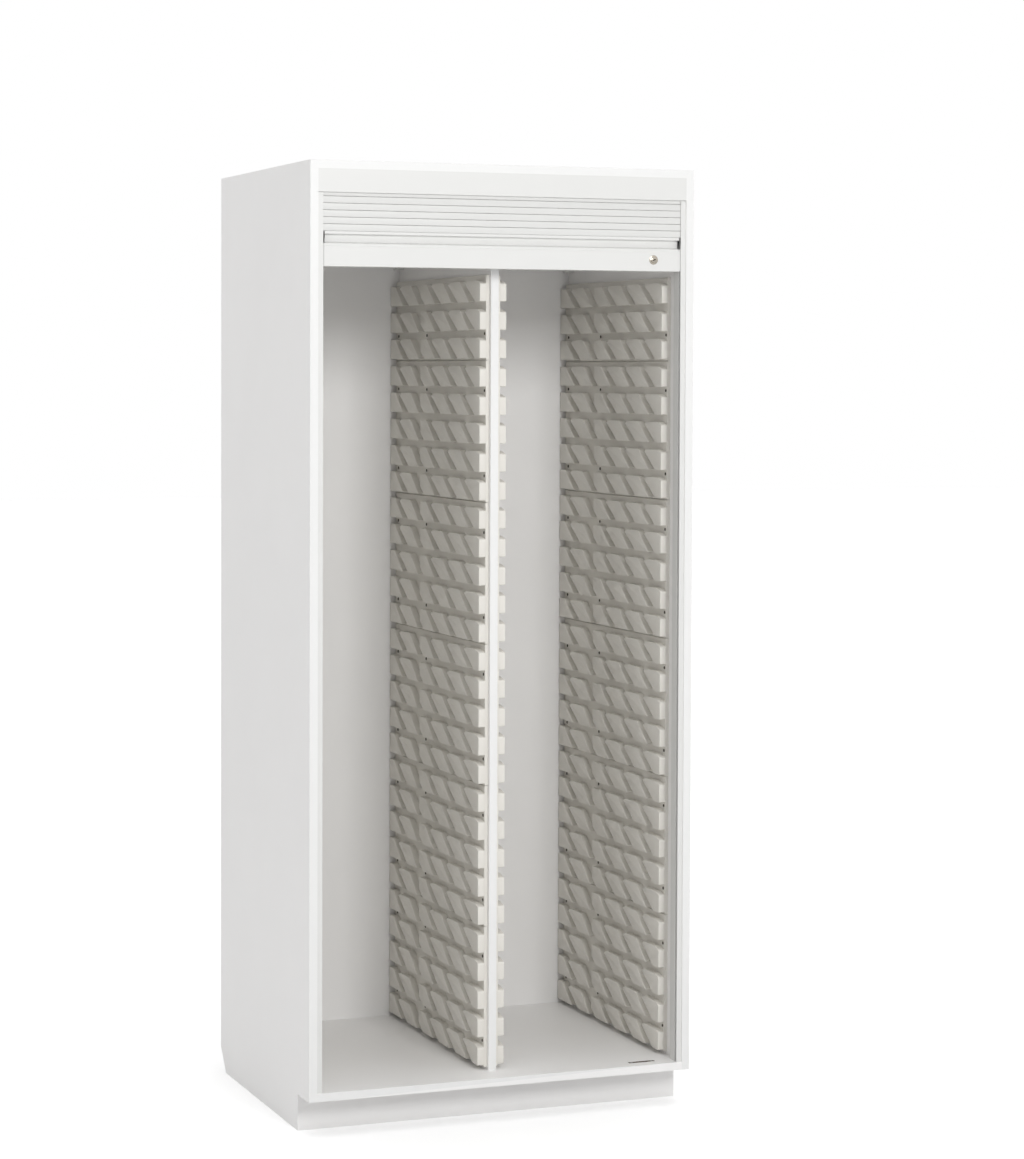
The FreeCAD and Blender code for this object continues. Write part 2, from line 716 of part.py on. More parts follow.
# Strike plate let into the bottom panel, with a mortise for the bolt.
strike_slot = (s.bolt_width + s.strike_play * 2, s.bolt_thickness + s.strike_play * 2)
strike_corner = (bolt_x - s.strike_length / 2, bolt_y - s.strike_width / 2, floor_top - s.strike_thickness)
strike_plain = cut("strike_plain",
                   block("strike_blank", strike_corner,
                         (s.strike_length, s.strike_width, s.strike_thickness)),
                   block("strike_opening", (bolt_x - strike_slot[0] / 2, bolt_y - strike_slot[1] / 2,
                                            floor_top - s.strike_thickness - s.overrun),
                         (*strike_slot, s.strike_thickness + s.overrun * 2)))
strike_reach = s.strike_length / 2 - s.strike_screw_inset
strike_seats = [(bolt_x + x, bolt_y, floor_top - s.screw_head_height) for x in (-strike_reach, strike_reach)]
keep(screwed("strike_plate", strike_plain, strike_seats, DOWN))
floor_pocket = block("floor_pocket", strike_corner,
                     (s.strike_length, s.strike_width, s.strike_thickness + s.overrun))
floor_mortise = block("floor_mortise", (bolt_x - strike_slot[0] / 2, bolt_y - strike_slot[1] / 2,
                                        floor_top - s.mortise_depth),
                      (*strike_slot, s.mortise_depth + s.overrun))
keep(cut("bottom_panel",
         block("bottom_panel_plain", (-inner, front, s.plinth_height), (inner_span, carcass_depth, s.board)),
         group("floor_openings", [floor_pocket, floor_mortise])))

# Tray inserts. A panel stands with its mounting face on x = 0 and its teeth towards +X.
# The rows share out the height of the bay, and a level channel stays open above each row.
stack_height = box_floor_bottom - floor_top - s.insert_floor_gap - s.insert_top_gap
row_pitch = stack_height / (FULL_PANELS * FULL_ROWS + TOP_ROWS)
tooth_height = row_pitch - s.channel_height
insert_length = carcass_depth - s.insert_setback - s.insert_back_gap
tooth_pitch = insert_length * s.tooth_pitch_share


def tooth_outlines():
    """The six teeth of the lowest row, by depth from the front and height from the panel's foot."""
    low = s.tooth_rise
    top = low + tooth_height
    slant_rise = tooth_height - s.tooth_bevel_rise
    slant_run = slant_rise * s.rear_lean_share
    front_run = tooth_height * s.front_lean_share
    outlines = []
    for index in range(TEETH):
        rear = s.first_tooth_foot + tooth_pitch * index
        begin = rear - tooth_pitch + s.tooth_slot
        rear_edge = [
            (rear, low),
            (rear + slant_run, low + slant_rise),
            (rear + slant_run - s.tooth_bevel_run, top),
        ]
        if index == CLIPPED_TOOTH:
            clip = rear + s.clipped_tooth_run
            rear_edge = [(rear, low), (clip, low + s.clipped_tooth_run / s.rear_lean_share), (clip, top)]
        if index == TEETH - 1:
            rear_edge = [(insert_length, low), (insert_length, top)]
        front_edge = [(begin + front_run, top), (begin, low)]
        if index == 0:
            front_edge = [(s.lead_in_run, top), (zero, top - s.lead_in_drop), (zero, low)]
        outlines.append(rear_edge + front_edge)
    return outlines


def tooth_row(name):
    """One row of teeth, each its own solid, standing on the face of the base."""
    sketch = doc.addObject("Sketcher::SketchObject", f"{name}_sketch")
    sketch.Placement = Placement(Vector(), Rotation(Vector(1, 1, 1), 120))
    for outline in tooth_outlines():
        draw_outline(sketch, outline)
    row = doc.addObject("Part::Extrusion", name)
    row.Base = sketch
    row.DirMode = "Normal"
    row.Solid = True
    row.setExpression("LengthFwd", s.tooth_depth.text)
    return row


def insert_panel(name, rows, screw_rows):
    """A panel with rows of teeth on its base, drilled for the screws below the given rows."""
    base = doc.addObject("PartDesign::Body", f"{name}_base")
    height = row_pitch * rows - s.insert_joint
    pad(base, f"{name}_base", "YZ_Plane", [rectangle((zero, zero), (insert_length, height))], s.insert_base)
    holes = start_sketch(base, f"{name}_holes_sketch", "YZ_Plane")
    for place in insert_screw_places(screw_rows):
        draw_circle(holes, place, s.screw_diameter + s.screw_clearance * 2)
    pocket = base.newObject("PartDesign::Pocket", f"{name}_holes")
    pocket.Profile = holes
    pocket.Reversed = True
    pocket.setExpression("Length", s.insert_base.text)
    teeth = [copy_of(row_form, f"{name}_row_{row}", (s.insert_base, 0, row_pitch * row))
             for row in range(rows)]
    return group(name, [base] + teeth)


def insert_screw_places(screw_rows):
    """Depth and height of the screws, in the channels below the given rows."""
    depths = (s.insert_front_screw, insert_length * s.middle_screw_share, insert_length - s.insert_rear_screw)
    return [(depth, s.tooth_rise + row_pitch * row - s.channel_height / 2)
            for row in screw_rows for depth in depths]


def insert_screw_set(name, screw_rows):
    """The screws of one panel, heads on the base and points in the board behind it."""
    return group(name, [copy_of(screw, f"{name}_{n}", (s.insert_base, depth, height), TO_LEFT)
                        for n, (depth, height) in enumerate(insert_screw_places(screw_rows))])


FULL_SCREW_ROWS = (1, FULL_ROWS - 1)
TOP_SCREW_ROWS = (1,)
row_form = tooth_row("tooth_row_form")
full_insert = insert_panel("full_insert_form", FULL_ROWS, FULL_SCREW_ROWS)
top_insert = insert_panel("top_insert_form", TOP_ROWS, TOP_SCREW_ROWS)
full_screws = insert_screw_set("full_insert_screw_form", FULL_SCREW_ROWS)
top_screws = insert_screw_set("top_insert_screw_form", TOP_SCREW_ROWS)
insert_y = front + s.insert_setback
insert_screws = []
for stack, opposite, face in (("left_wall", "right_wall", -inner),
                              ("divider_right", "divider_left", divider_face)):
    for level in range(FULL_PANELS + 1):
        is_top = level == FULL_PANELS
        foot = floor_top + s.insert_floor_gap + row_pitch * FULL_ROWS * level
        corner = (face, insert_y, foot)
        number = level + 1
        panel = keep(copy_of(top_insert if is_top else full_insert, f"{stack}_insert_{number}", corner))
        keep(mirrored(f"{opposite}_insert_{number}", panel))
        screws = copy_of(top_screws if is_top else full_screws, f"{stack}_screws_{number}", corner)
        insert_screws += [screws, mirrored(f"{opposite}_screws_{number}", screws)]
keep(group("insert_screws", insert_screws))
keep(group("fixing_screws", fixings))

# Check and write every sub-part.
doc.recompute()
for thing in doc.Objects:
    if "Invalid" in thing.State or "Error" in thing.State:
        raise RuntimeError(f"{thing.Name} failed: {thing.State}")
for thing in subparts:
    if thing.Shape.isNull() or not thing.Shape.isValid():
        raise RuntimeError(f"{thing.Label} has no valid shape")
os.makedirs("parts", exist_ok=True)
for thing in subparts:
    thing.Shape.exportStep(f"parts/{thing.Label}.step")
print(len(subparts), "sub-parts,", sum(len(thing.Shape.Solids) for thing in subparts), "solids")
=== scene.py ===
# %% [markdown]
# # A white roller-shutter storage cabinet
# The real cabinet is a tall box of white board with a roller shutter and two bays of grey tray inserts.
# Its CAD part already puts every board, track and lock piece in its place. It could all be modelled afresh,
# but the part's own boards are exact, so they stay. This lesson rounds and paints them, models what needs
# finer form (slats, rail, lock, inserts, screws), and sets a plain studio round it.

# %% Load the frame
import bpy
import math
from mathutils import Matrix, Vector


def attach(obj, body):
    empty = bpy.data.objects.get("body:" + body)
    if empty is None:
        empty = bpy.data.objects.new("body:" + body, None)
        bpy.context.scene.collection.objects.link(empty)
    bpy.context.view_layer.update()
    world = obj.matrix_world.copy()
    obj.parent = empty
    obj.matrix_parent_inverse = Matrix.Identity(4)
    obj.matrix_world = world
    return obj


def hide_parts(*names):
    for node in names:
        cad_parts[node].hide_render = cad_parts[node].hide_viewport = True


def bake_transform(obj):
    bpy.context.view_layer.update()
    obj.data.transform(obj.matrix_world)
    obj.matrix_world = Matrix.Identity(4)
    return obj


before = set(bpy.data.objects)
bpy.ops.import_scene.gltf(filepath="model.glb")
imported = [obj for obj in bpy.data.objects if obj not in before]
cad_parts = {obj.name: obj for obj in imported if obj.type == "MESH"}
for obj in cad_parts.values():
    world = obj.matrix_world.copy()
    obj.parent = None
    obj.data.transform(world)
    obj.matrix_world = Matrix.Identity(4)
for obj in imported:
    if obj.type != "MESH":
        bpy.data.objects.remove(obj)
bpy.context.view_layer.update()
MM = 0.001

# %% [markdown]
# ## Paint
# Every surface on the cabinet is nearly one colour, with a fine grain that softens its shine. A photograph
# could be laid on it, but a pattern worked out from real sizes stays sharp from all sides. So one function
# makes all surfaces: a fine bump, and a slow drift between two close colours.

# %% Material helpers


def linear(hex_colour):
    """Linear RGBA of an sRGB hex colour."""
    values = [int(hex_colour[i:i + 2], 16) / 255 for i in (1, 3, 5)]
    return [v / 12.92 if v <= 0.04045 else ((v + 0.055) / 1.055) ** 2.4 for v in values] + [1]


def add_node(owner, kind, inputs=None, **settings):
    """Add one shader node, set its options, and give its inputs a value or a link."""
    node = owner.node_tree.nodes.new(kind)
    for name, value in settings.items():
        setattr(node, name, value)
    for name, value in (inputs or {}).items():
        if isinstance(value, bpy.types.NodeSocket):
            owner.node_tree.links.new(value, node.inputs[name])
        else:
            node.inputs[name].default_value = value
    return node


DRIFT_MM, DRIFT_DETAIL, GRAIN_DETAIL, BUMP_STRENGTH = 180, 2.0, 3.0, 0.6
# Places of the mix node's colour sockets, which share their names with its number sockets.
COLOUR_A, COLOUR_B, COLOUR_OUT = 6, 7, 2


def surface(name, colours, roughness, grain_mm, depth_mm, metallic=0.0, stretch=(1, 1, 1)):
    """A surface with a fine grain and a slow drift between two close colours."""
    material = bpy.data.materials.new(name)
    material.use_nodes = True
    shader = material.node_tree.nodes["Principled BSDF"]
    place = add_node(material, "ShaderNodeTexCoord").outputs["Object"]
    place = add_node(material, "ShaderNodeMapping", {"Vector": place, "Scale": stretch}).outputs["Vector"]
    grain = add_node(material, "ShaderNodeTexNoise",
                     {"Vector": place, "Scale": 1 / (grain_mm * MM), "Detail": GRAIN_DETAIL})
    drift = add_node(material, "ShaderNodeTexNoise",
                     {"Vector": place, "Scale": 1 / (DRIFT_MM * MM), "Detail": DRIFT_DETAIL})
    colour = add_node(material, "ShaderNodeMix", {"Factor": drift.outputs["Fac"]}, data_type="RGBA")
    colour.inputs[COLOUR_A].default_value = linear(colours[0])
    colour.inputs[COLOUR_B].default_value = linear(colours[1])
    bump = add_node(material, "ShaderNodeBump", {"Height": grain.outputs["Fac"], "Strength": BUMP_STRENGTH,
                                                 "Distance": depth_mm * MM})
    material.node_tree.links.new(colour.outputs[COLOUR_OUT], shader.inputs["Base Color"])
    material.node_tree.links.new(bump.outputs["Normal"], shader.inputs["Normal"])
    shader.inputs["Roughness"].default_value = roughness
    shader.inputs["Metallic"].default_value = metallic
    return material


def paint(obj, material):
    """Give an object one material."""
    obj.data.materials.clear()
    obj.data.materials.append(material)
    return obj


# %% [markdown]
# ## White and grey materials
# The carcass is board with a melamine film, its front edges carry a plastic band, and the fascia, tracks and
# rail are lacquered aluminium. The slats are extruded plastic and the inserts moulded plastic. They could
# share one white, but each has its own sheen, which is what tells them apart in soft light.

# %% White and grey materials
# Film pressed hot on board: an even white with a soft sheen.
MELAMINE = surface("white melamine film pressed on board", ("#F4F3F2", "#F0EFEE"),
                   roughness=0.42, grain_mm=0.7, depth_mm=0.02)
# A band glued on the edges: a shade greyer than the film.
EDGE_BAND = surface("white plastic band glued on board edges", ("#EBEBEA", "#E8E8E7"),
                    roughness=0.4, grain_mm=0.9, depth_mm=0.01)
# Lacquer sprayed on aluminium: smooth, with a slight orange peel.
LACQUER = surface("white lacquer sprayed on aluminium", ("#E0E0DE", "#DDDDDB"),
                  roughness=0.38, grain_mm=0.5, depth_mm=0.01)
# Extruded plastic: fine lines drawn out along each slat.
SLAT_PLASTIC = surface("white plastic extruded in slats", ("#DBDBD9", "#D8D8D6"),
                       roughness=0.36, grain_mm=1.2, depth_mm=0.015, stretch=(0.02, 1, 1))
# Moulded plastic with a spark-eroded grain: a warm grey that scatters light widely.
GREY_PLASTIC = surface("grey plastic moulded with a fine grain", ("#E4E1DA", "#DFDCD5"),
                       roughness=0.52, grain_mm=0.8, depth_mm=0.04)
# Moulded plastic from a polished tool: plain and smooth.
WHITE_PLASTIC = surface("white plastic moulded smooth", ("#E4E4E1", "#DEDEDB"),
                        roughness=0.4, grain_mm=0.8, depth_mm=0.02)
print("white and grey materials made")

# %% [markdown]
# ## Metals, rubber and wood
# These show only in small pieces: the lock, the screws, the strike plate, and what sits in the head box.
# Plain grey would do from afar, but the lock and the screws are looked at closely, so each gets its finish.

# %% Metals, rubber and wood
# Plastic moulded in an etched tool: black with a dull sheen.
BLACK_PLASTIC = surface("black plastic moulded matte", ("#1C1C1C", "#202020"),
                        roughness=0.55, grain_mm=0.8, depth_mm=0.03)
# Bright zinc: a cool, slightly cloudy mirror.
ZINC = surface("steel zinc plated bright", ("#B9BCBF", "#AEB1B4"),
               roughness=0.32, grain_mm=2.0, depth_mm=0.01, metallic=1.0)
# Polished nickel: a clear, warm mirror.
NICKEL = surface("brass nickel plated and polished", ("#BDB6AA", "#B5AEA2"),
                 roughness=0.2, grain_mm=3.0, depth_mm=0.004, metallic=1.0)
# Baked lacquer on pressed steel: a dark brown with little shine.
BROWN = surface("steel lacquered brown", ("#5A4A3C", "#524335"),
                roughness=0.45, grain_mm=0.6, depth_mm=0.01)
# Rubber cut from sheet: nearly black, with no shine at all.
RUBBER = surface("rubber cut from black sheet", ("#161616", "#1B1B1B"),
                 roughness=0.75, grain_mm=0.6, depth_mm=0.05)
# Turned beech: a warm tan with its grain drawn out lengthwise.
BEECH = surface("beech turned to dowels", ("#C79F6E", "#B88F5E"),
                roughness=0.6, grain_mm=0.6, depth_mm=0.05, stretch=(0.1, 1, 1))
# Blackened steel: dark grey, with a glint on its rounded heads.
SCREW_STEEL = surface("steel screws blackened", ("#55524C", "#4A4741"),
                      roughness=0.45, grain_mm=1.0, depth_mm=0.01, metallic=0.8)
# Painted shade: the walls and floor deep in the keyway are coloured near black, standing in for the shade in
# the slot.
KEYWAY_SHADE = surface("keyway painted near black as shade", ("#0B0B0B", "#101010"),
               roughness=0.6, grain_mm=1.0, depth_mm=0.01)
print("metals, rubber and wood made")

# %% [markdown]
# ## Boards and fittings that keep their CAD shape
# A real board has a tiny rounding on its edges, and so have folded and moulded fittings. Sharp CAD edges
# would show no highlight. Each edge could be bevelled in edit mode, but a bevel modifier does all of them at
# once and leaves the CAD mesh as it is.

# %% Round and paint the CAD pieces


def only(obj):
    """Make one object the selected and active one."""
    bpy.ops.object.select_all(action="DESELECT")
    obj.select_set(True)
    bpy.context.view_layer.objects.active = obj
    return obj


def smooth(obj, angle):
    """Shade smooth where faces meet at less than an angle in degrees."""
    only(obj)
    bpy.ops.object.shade_smooth_by_angle(angle=math.radians(angle))
    return obj


def soften(obj, width, angle=30):
    """Round the sharp edges and keep the flat faces flat in shading."""
    only(obj)
    bpy.ops.object.modifier_add(type="BEVEL")
    rounding = obj.modifiers[-1]
    rounding.width = width * MM
    rounding.segments = 2
    rounding.limit_method = "ANGLE"
    rounding.angle_limit = math.radians(angle)
    rounding.harden_normals = True
    return smooth(obj, angle)


BOARDS = ["left_side_panel", "right_side_panel", "top_panel", "bottom_panel", "centre_divider"]
HIDDEN_BOARDS = ["back_panel", "toe_kick", "rear_plinth_rail", "head_box_floor"]
SOFTENED = [
    (MELAMINE, 1.0, BOARDS + HIDDEN_BOARDS),
    (LACQUER, 0.5, ["header_fascia", "left_track", "right_track"]),
    (SLAT_PLASTIC, 0.5, ["rail_end_guides", "head_guides"]),
    (WHITE_PLASTIC, 2.0, ["corner_blocks"]),
    (BLACK_PLASTIC, 0.6, ["barrel_end_plugs", "spring_anchor"]),
    (ZINC, 0.4, ["barrel_brackets", "barrel_axle", "barrel_tube", "counterbalance_spring", "lock_bolt",
                 "fixing_screws"]),
    (BROWN, 0.3, ["strike_plate"]),
    (RUBBER, 1.5, ["shutter_stops"]),
    (BEECH, 0.8, ["carcass_dowels"]),
]
for material, width, names in SOFTENED:
    for name in names:
        paint(soften(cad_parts[name], width), material)
print(sum(len(names) for material, width, names in SOFTENED), "pieces keep their CAD shape")

# %% [markdown]
# The front edges of the boards carry a glued band. It could be a thin piece of its own, but it lies flush,
# so a second material on the faces that look forward says the same with no extra mesh.

# %% Edge bands
PLINTH_TOP, FACING = 90, 0.9
banded = 0
for name in BOARDS:
    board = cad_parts[name].data
    board.materials.append(EDGE_BAND)
    for face in board.polygons:
        if face.normal.y < -FACING and face.center.z > PLINTH_TOP * MM:
            face.material_index = 1
            banded += 1
print(banded, "faces carry an edge band")

# %% [markdown]
# ## Modelling by hand
# New pieces start from a cube, a plane or a cylinder at its size and place. They are then cut, slid, bevelled
# and extruded in edit mode. All places are millimetres: x to the right, y to the back, z up from the floor.

# %% Modelling helpers
TOLERANCE = 0.01


def settled(name):
    """Name the active object and put its place, turn and scale into its mesh."""
    obj = bpy.context.active_object
    obj.name = name
    bpy.ops.object.transform_apply(location=True, rotation=True, scale=True)
    return obj


def block(name, low, high, turn=0):
    """A cube stretched between two corners and turned about the y axis."""
    bpy.ops.object.select_all(action="DESELECT")
    low, high = Vector(low), Vector(high)
    bpy.ops.mesh.primitive_cube_add(size=1, location=(low + high) / 2 * MM, rotation=(0, turn, 0),
                                    scale=(high - low) * MM)
    return settled(name)


def pick(obj, kind, test):
    """Go into edit mode with the corners, edges or faces selected that lie wholly where a test says yes."""
    only(obj)
    bpy.ops.object.mode_set(mode="EDIT")
    bpy.ops.mesh.select_mode(type=kind)
    bpy.ops.mesh.select_all(action="DESELECT")
    bpy.ops.object.mode_set(mode="OBJECT")
    inside = [test(vertex.co / MM) for vertex in obj.data.vertices]
    if kind == "VERT":
        for vertex in obj.data.vertices:
            vertex.select = inside[vertex.index]
    else:
        for item in obj.data.edges if kind == "EDGE" else obj.data.polygons:
            item.select = all(inside[index] for index in item.vertices)
    bpy.ops.object.mode_set(mode="EDIT")


def near(value, target):
    """True where two measures agree within the tolerance."""
    return abs(value - target) < TOLERANCE


def between(value, low, high):
    """True where a measure lies between two others or on one of them."""
    return low - TOLERANCE < value < high + TOLERANCE


def slice_at(obj, heights):
    """Cut level lines round a piece."""
    for z in heights:
        pick(obj, "VERT", lambda p: True)
        bpy.ops.mesh.bisect(plane_co=(0, 0, z * MM), plane_no=(0, 0, 1))
        bpy.ops.object.mode_set(mode="OBJECT")


def slide(obj, test, offset):
    """Move the corners that pass a test."""
    pick(obj, "VERT", test)
    bpy.ops.transform.translate(value=Vector(offset) * MM)
    bpy.ops.object.mode_set(mode="OBJECT")


def push(obj, test, offset):
    """Extrude the faces that pass a test."""
    pick(obj, "FACE", test)
    bpy.ops.mesh.extrude_region_move(TRANSFORM_OT_translate={"value": Vector(offset) * MM})
    bpy.ops.object.mode_set(mode="OBJECT")


def round_edges(obj, test, width, segments=2):
    """Bevel the edges that pass a test."""
    pick(obj, "EDGE", test)
    bpy.ops.mesh.bevel(offset=width * MM, segments=segments)
    bpy.ops.object.mode_set(mode="OBJECT")


def face_outwards(obj):
    """Point all faces outwards."""
    pick(obj, "FACE", lambda p: True)
    bpy.ops.mesh.normals_make_consistent(inside=False)
    bpy.ops.object.mode_set(mode="OBJECT")
    return obj


def apply_last(obj):
    """Apply the last modifier of a piece."""
    only(obj)
    bpy.ops.object.modifier_apply(modifier=obj.modifiers[-1].name)
    return obj


def finish_piece(obj, material, node, body):
    """Paint a piece, hide the CAD part it stands for, and hang it on the body it rides on."""
    paint(obj, material)
    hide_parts(node)
    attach(obj, body)


print("helpers ready")

# %% [markdown]
# ## One slat
# A slat is a flat plastic strip with a faint crown, and it dips where it meets the next one. It could be
# drawn as a section and swept, but cutting a cube in level rows and sliding each row back shows every step.

# %% One slat
RAIL_TOP, TRAVEL = 1949.5, 1775
SLAT_FRONT, SLAT_THICK, SLAT_PITCH, SLAT_GAP, SLAT_REACH = -329.75, 7, 14.85, 0.3, 428
CROWN_RADIUS, JOINT_DIP, JOINT_REACH, ROW_SHARES = 70, 1.2, 0.5, (0.2, 0.35)
SLAT_HEIGHT = SLAT_PITCH - SLAT_GAP
FIRST_FOOT = RAIL_TOP - TRAVEL
curtain = block("curtain", (-SLAT_REACH, SLAT_FRONT, FIRST_FOOT),
                (SLAT_REACH, SLAT_FRONT + SLAT_THICK, FIRST_FOOT + SLAT_HEIGHT))
rows = [JOINT_REACH] + [SLAT_HEIGHT * share for share in ROW_SHARES]
rows = rows + [SLAT_HEIGHT / 2] + [SLAT_HEIGHT - row for row in rows]
slice_at(curtain, [FIRST_FOOT + row for row in rows])
for row in rows + [0, SLAT_HEIGHT]:
    sag = CROWN_RADIUS - math.sqrt(CROWN_RADIUS ** 2 - (row - SLAT_HEIGHT / 2) ** 2)
    dip = JOINT_DIP if row in (0, SLAT_HEIGHT) else 0
    slide(curtain, lambda p: near(p.y, SLAT_FRONT) and near(p.z, FIRST_FOOT + row), (0, sag + dip, 0))
print("one slat has", len(curtain.data.polygons), "faces")

# %% [markdown]
# ## The curtain
# On the real cabinet the slats hang from the barrel, and most are wound up while the shutter is open. Here
# one piece hangs from the head box to the rail: an array of slats as they are when closed. While open, those
# above are drawn together behind the fascia, by the exact inverse of a smooth blend from the open heights to
# the closed ones, so that this blend would spread them at their true pitch. No operator bends a mesh by such
# a formula, so the heights are set in code.

# %% Curtain
GATHER_LOW, GATHER_HIGH, HALVINGS = 2034, 2046, 60
SLATS = math.ceil((GATHER_HIGH - FIRST_FOOT) / SLAT_PITCH)


def closed_height(z):
    """Height of a curtain point after the shutter has come down."""
    t = min(max((GATHER_HIGH - z) / (GATHER_HIGH - GATHER_LOW), 0), 1)
    return z - TRAVEL * t * t * (3 - 2 * t)


def open_height(closed):
    """Height in the open curtain of a point given by its height when closed, found by halving."""
    low, high = RAIL_TOP - SLAT_PITCH, GATHER_HIGH
    for _ in range(HALVINGS):
        middle = (low + high) / 2
        if closed_height(middle) < closed:
            low = middle
        else:
            high = middle
    return (low + high) / 2


bpy.ops.object.modifier_add(type="ARRAY")
stack = curtain.modifiers[-1]
stack.count = SLATS
stack.use_relative_offset = False
stack.use_constant_offset = True
stack.constant_offset_displace = (0, 0, SLAT_PITCH * MM)
apply_last(curtain)
for vertex in curtain.data.vertices:
    vertex.co.z = open_height(vertex.co.z / MM) * MM
smooth(face_outwards(curtain), angle=35)
paint(curtain, SLAT_PLASTIC)
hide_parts("shutter_slats")
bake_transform(curtain)
print(SLATS, "slats in the curtain")

# %% [markdown]
# ## The roll
# The rest of the curtain turns back over the head guides and winds on the barrel. Nobody sees it in use, but
# it fills the head box. One long strip could be bent round, yet real slats stay flat, so each is laid along
# a path of half circles that shrink by half a layer.

# %% Path of the roll
ROLL_Y, RUN_TOP, BEND = -220, 2075, 28
ROLL_RADIUS, LAYER, HALF_TURNS, BEND_STEPS = 67.8, 7.6, 12, 45


def roll_path():
    """Points about a millimetre apart along the middle of the wound curtain."""
    y0 = SLAT_FRONT + SLAT_THICK / 2
    turns = [math.pi / 2 * k / BEND_STEPS for k in range(BEND_STEPS + 1)]
    path = [(y0 + BEND - BEND * math.cos(turn), RUN_TOP - BEND + BEND * math.sin(turn)) for turn in turns]
    path += [(y, RUN_TOP) for y in range(round(y0 + BEND) + 1, ROLL_Y)]
    end = RUN_TOP
    for half in range(HALF_TURNS):
        radius = ROLL_RADIUS - half * LAYER / 2
        side = 1 if half % 2 == 0 else -1
        centre = end - side * radius
        steps = round(math.pi * radius)
        for turn in (math.pi * k / steps for k in range(steps)):
            path.append((ROLL_Y + side * radius * math.sin(turn), centre + side * radius * math.cos(turn)))
        end = centre - side * radius
    return path


path = roll_path()
print("the path has", len(path), "points")

# %% Slats on the roll
ROLL_CLEARANCE, ROLL_ROUND = 0.8, 0.6
step = round(SLAT_PITCH)
wound = []
bpy.ops.object.select_all(action="DESELECT")
for (y0, z0), (y1, z1) in zip(path[:-step:step], path[step::step]):
    run = math.hypot(y1 - y0, z1 - z0)
    size = Vector((SLAT_REACH * 2, run - SLAT_GAP, SLAT_THICK - ROLL_CLEARANCE))
    bpy.ops.mesh.primitive_cube_add(size=1, location=Vector((0, (y0 + y1) / 2, (z0 + z1) / 2)) * MM,
                                    rotation=(math.atan2(z1 - z0, y1 - y0), 0, 0), scale=size * MM)
    wound.append(bpy.context.active_object)
for slat in wound:
    slat.select_set(True)
bpy.ops.object.join()
roll = soften(settled("curtain_roll"), ROLL_ROUND)
apply_last(roll)
finish_piece(roll, SLAT_PLASTIC, "wound_curtain", "cabinet")
print(len(wound), "slats on the barrel")

# %% [markdown]
# ## The shutter rail
# The rail is an aluminium extrusion with a finger groove, a thin bead below it and a foot that carries the
# bolt. It could be swept from a drawn section. Here a bar is cut in level lines, then the groove is pushed
# in, the foot pulled out and the lip slid back, as one would do by hand.

# %% Rail
RAIL_BOTTOM, RAIL_FRONT, RAIL_BACK, RAIL_REACH = 1874, -330.75, -310.75, 416.5
GROOVE_LOW, GROOVE_TOP, GROOVE_DEPTH, GROOVE_SLOPE = 1923, 1943, 10, 3
FOOT_BACK, FOOT_TOP = -294.75, 1877
LIP_BACK, BEAD_BACK, BEAD_TOP, BEAD_LOW, BEAD_FOOT = 2.5, 1.2, 1918.4, 1917.6, 1917
rail = block("shutter_rail_shell", (-RAIL_REACH, RAIL_FRONT, RAIL_BOTTOM), (RAIL_REACH, RAIL_BACK, RAIL_TOP))
slice_at(rail, [FOOT_TOP, BEAD_FOOT, BEAD_LOW, BEAD_TOP, GROOVE_LOW, GROOVE_TOP, RAIL_TOP - BEAD_BACK])
push(rail, lambda p: near(p.y, RAIL_FRONT) and between(p.z, GROOVE_LOW, GROOVE_TOP), (0, GROOVE_DEPTH, 0))
push(rail, lambda p: near(p.y, RAIL_BACK) and between(p.z, RAIL_BOTTOM, FOOT_TOP),
     (0, FOOT_BACK - RAIL_BACK, 0))
slide(rail, lambda p: near(p.y, RAIL_FRONT + GROOVE_DEPTH) and near(p.z, GROOVE_LOW), (0, 0, GROOVE_SLOPE))
for z, back in ((GROOVE_LOW, LIP_BACK), (BEAD_TOP, BEAD_BACK), (BEAD_LOW, BEAD_BACK), (RAIL_TOP, BEAD_BACK)):
    slide(rail, lambda p: near(p.y, RAIL_FRONT) and near(p.z, z), (0, back, 0))
face_outwards(rail)
print("rail", RAIL_REACH * 2, "mm long")

# %% [markdown]
# The lock sits in a round hole through the rail, and the bolt drops through a slot in the foot. Both could be
# left out, as they are mostly covered, but the bolt moves through its slot. A boolean with a cylinder and a
# block makes each.

# %% Holes in the rail
LOCK_X, LOCK_Z, BARREL_RADIUS, HOLE_CLEARANCE = 354, 1899, 8, 0.2
BOLT_X, BOLT_SLOT = 347, ((-15.4, -305.4), (15.4, -300.6))
OVERRUN, RAIL_ROUND = 10, 0.4


def drum(name, radius, front, back, x=0, z=0, steps=64):
    """A cylinder along y between two depths."""
    bpy.ops.object.select_all(action="DESELECT")
    bpy.ops.mesh.primitive_cylinder_add(vertices=steps, radius=radius * MM, depth=(back - front) * MM,
                                        location=Vector((x, (front + back) / 2, z)) * MM,
                                        rotation=(math.pi / 2, 0, 0))
    return settled(name)


def combine(obj, tool, operation):
    """Add a tool shape to a piece or take it away, and remove the tool."""
    only(obj)
    bpy.ops.object.modifier_add(type="BOOLEAN")
    obj.modifiers[-1].object = tool
    obj.modifiers[-1].operation = operation
    obj.modifiers[-1].solver = "EXACT"
    apply_last(obj)
    bpy.data.objects.remove(tool)
    return obj


def bolt_slot(low, high):
    """A tool for the bolt's way down."""
    (left, front), (right, back) = BOLT_SLOT
    return block("bolt_slot_tool", (BOLT_X + left, front, low), (BOLT_X + right, back, high))


